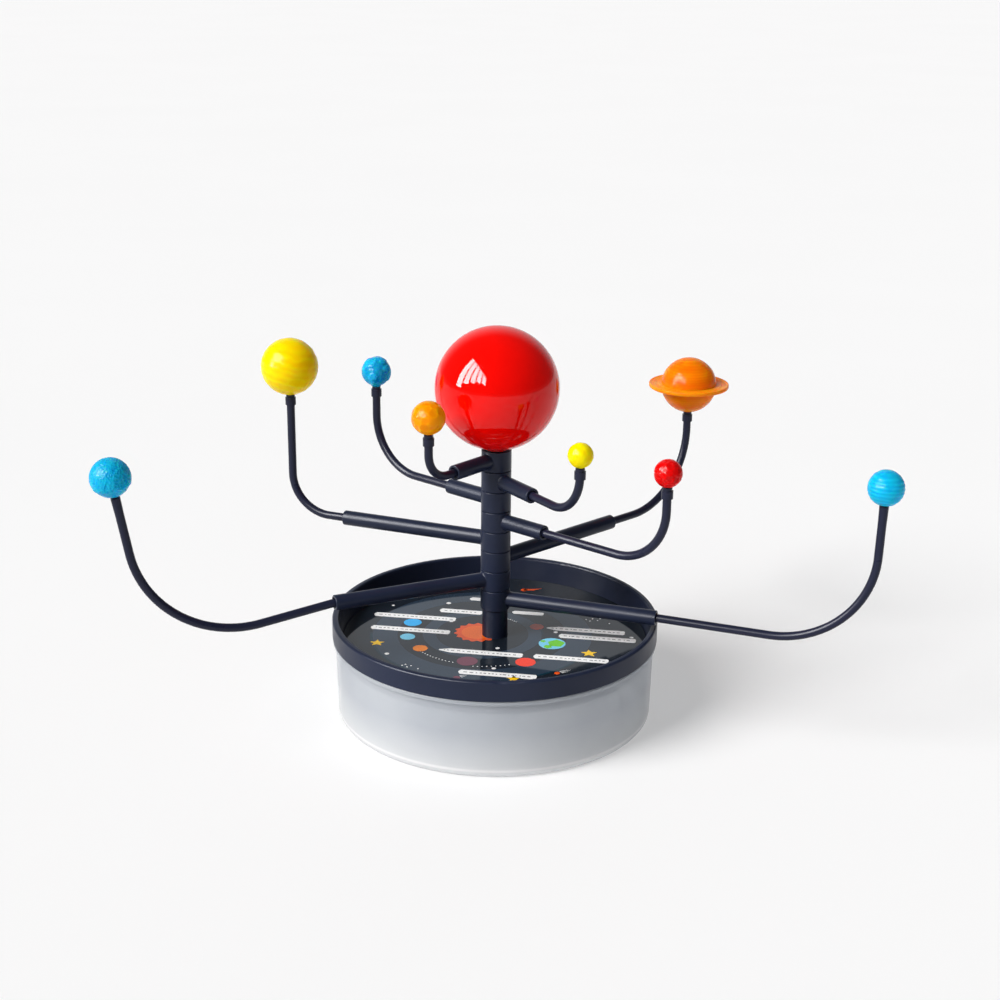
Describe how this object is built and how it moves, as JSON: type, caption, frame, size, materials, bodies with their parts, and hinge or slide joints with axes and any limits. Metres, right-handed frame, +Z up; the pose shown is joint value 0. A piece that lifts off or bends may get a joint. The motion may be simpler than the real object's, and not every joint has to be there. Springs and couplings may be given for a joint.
{
  "type": "orrery",
  "caption": "Tabletop orrery: planets on curved arms turn round a central sun on a spindle, above a round storage drum whose tray lid holds a printed disc.",
  "frame": {"origin": "centre of the drum's flat underside, on the surface it stands on", "axes": "+Z up along the spindle; +X to the right across the longest span of the arms as stored; -Y towards the viewer"},
  "size_m": [0.3796, 0.2032, 0.2041],
  "materials": {
    "frosted_plastic": "frosted translucent",
    "navy_plastic": "satin",
    "arm_plastic": "satin",
    "printed_card": "glossy laminated print",
    "screw_steel": "zinc plated",
    "sun_plastic": "high gloss",
    "mercury_plastic": "satin, cratered relief",
    "venus_plastic": "satin, soft relief",
    "earth_plastic": "satin, relief of land",
    "mars_plastic": "satin, cratered relief",
    "jupiter_plastic": "satin, banded relief",
    "saturn_plastic": "satin, grooved relief",
    "uranus_plastic": "satin, pebbled relief",
    "neptune_plastic": "satin, banded relief"
  },
  "bodies": {
    "drum": {"storage_drum": "frosted_plastic"},
    "tray": {"tray_lid": "navy_plastic", "printed_disc": "printed_card", "spindle": "navy_plastic", "spindle_screw": "screw_steel"},
    "mercury_orbit": {"mercury_carrier": "navy_plastic", "mercury_arm": "arm_plastic"},
    "venus_orbit": {"venus_carrier": "navy_plastic", "venus_arm": "arm_plastic"},
    "earth_orbit": {"earth_carrier": "navy_plastic", "earth_arm": "arm_plastic"},
    "mars_orbit": {"mars_carrier": "navy_plastic", "mars_arm": "arm_plastic"},
    "jupiter_orbit": {"jupiter_carrier": "navy_plastic", "jupiter_arm": "arm_plastic"},
    "saturn_orbit": {"saturn_carrier": "navy_plastic", "saturn_arm": "arm_plastic"},
    "uranus_orbit": {"uranus_carrier": "navy_plastic", "uranus_arm": "arm_plastic"},
    "neptune_orbit": {"neptune_carrier": "navy_plastic", "neptune_arm": "arm_plastic"},
    "mercury_ball": {"mercury": "mercury_plastic"},
    "venus_ball": {"venus": "venus_plastic"},
    "earth_ball": {"earth": "earth_plastic"},
    "mars_ball": {"mars": "mars_plastic"},
    "jupiter_ball": {"jupiter": "jupiter_plastic"},
    "saturn_ball": {"saturn": "saturn_plastic", "saturn_ring": "saturn_plastic"},
    "uranus_ball": {"uranus": "uranus_plastic"},
    "neptune_ball": {"neptune": "neptune_plastic"},
    "sun": {"sun_upper_shell": "sun_plastic", "sun_lower_shell": "sun_plastic"}
  },
  "joints": [
    {"name": "tray_lift", "type": "slide", "parent": "drum", "child": "tray", "axis": [0, 0, 1], "range_m": [0, 0.1]},
    {"name": "mercury_orbit_turn", "type": "hinge", "parent": "tray", "child": "mercury_orbit", "pos_m": [0, 0, 0.1363], "axis": [0, 0, 1], "continuous": true},
    {"name": "venus_orbit_turn", "type": "hinge", "parent": "tray", "child": "venus_orbit", "pos_m": [0, 0, 0.12558], "axis": [0, 0, 1], "continuous": true},
    {"name": "earth_orbit_turn", "type": "hinge", "parent": "tray", "child": "earth_orbit", "pos_m": [0, 0, 0.11486], "axis": [0, 0, 1], "continuous": true},
    {"name": "mars_orbit_turn", "type": "hinge", "parent": "tray", "child": "mars_orbit", "pos_m": [0, 0, 0.10414], "axis": [0, 0, 1], "continuous": true},
    {"name": "jupiter_orbit_turn", "type": "hinge", "parent": "tray", "child": "jupiter_orbit", "pos_m": [0, 0, 0.09342], "axis": [0, 0, 1], "continuous": true},
    {"name": "saturn_orbit_turn", "type": "hinge", "parent": "tray", "child": "saturn_orbit", "pos_m": [0, 0, 0.0827], "axis": [0, 0, 1], "continuous": true},
    {"name": "uranus_orbit_turn", "type": "hinge", "parent": "tray", "child": "uranus_orbit", "pos_m": [0, 0, 0.07198], "axis": [0, 0, 1], "continuous": true},
    {"name": "neptune_orbit_turn", "type": "hinge", "parent": "tray", "child": "neptune_orbit", "pos_m": [0, 0, 0.06126], "axis": [0, 0, 1], "continuous": true},
    {"name": "mercury_spin", "type": "hinge", "parent": "mercury_orbit", "child": "mercury_ball", "pos_m": [-0.03254, -0.03691, 0.1681], "axis": [0, 0, 1], "continuous": true},
    {"name": "venus_spin", "type": "hinge", "parent": "venus_orbit", "child": "venus_ball", "pos_m": [0.03924, -0.05688, 0.15658], "axis": [0, 0, 1], "continuous": true},
    {"name": "earth_spin", "type": "hinge", "parent": "earth_orbit", "child": "earth_ball", "pos_m": [-0.06378, 0.0539, 0.16666], "axis": [0, 0, 1], "continuous": true},
    {"name": "mars_spin", "type": "hinge", "parent": "mars_orbit", "child": "mars_ball", "pos_m": [0.07952, -0.06625, 0.15124], "axis": [0, 0, 1], "continuous": true},
    {"name": "jupiter_spin", "type": "hinge", "parent": "jupiter_orbit", "child": "jupiter_ball", "pos_m": [-0.10758, 0.04065, 0.17242], "axis": [0, 0, 1], "continuous": true},
    {"name": "saturn_spin", "type": "hinge", "parent": "saturn_orbit", "child": "saturn_ball", "pos_m": [0.10609, 0.09722, 0.1494], "axis": [0, 0, 1], "continuous": true},
    {"name": "uranus_spin", "type": "hinge", "parent": "uranus_orbit", "child": "uranus_ball", "pos_m": [-0.17791, -0.06989, 0.1475], "axis": [-0.1557, -0.0548, 0.9863], "continuous": true},
    {"name": "neptune_spin", "type": "hinge", "parent": "neptune_orbit", "child": "neptune_ball", "pos_m": [0.18308, -0.05738, 0.14216], "axis": [0.0216, -0.0068, 0.9997], "continuous": true},
    {"name": "sun_lift", "type": "slide", "parent": "tray", "child": "sun", "axis": [0, 0, 1], "range_m": [0, 0.03]}
  ]
}
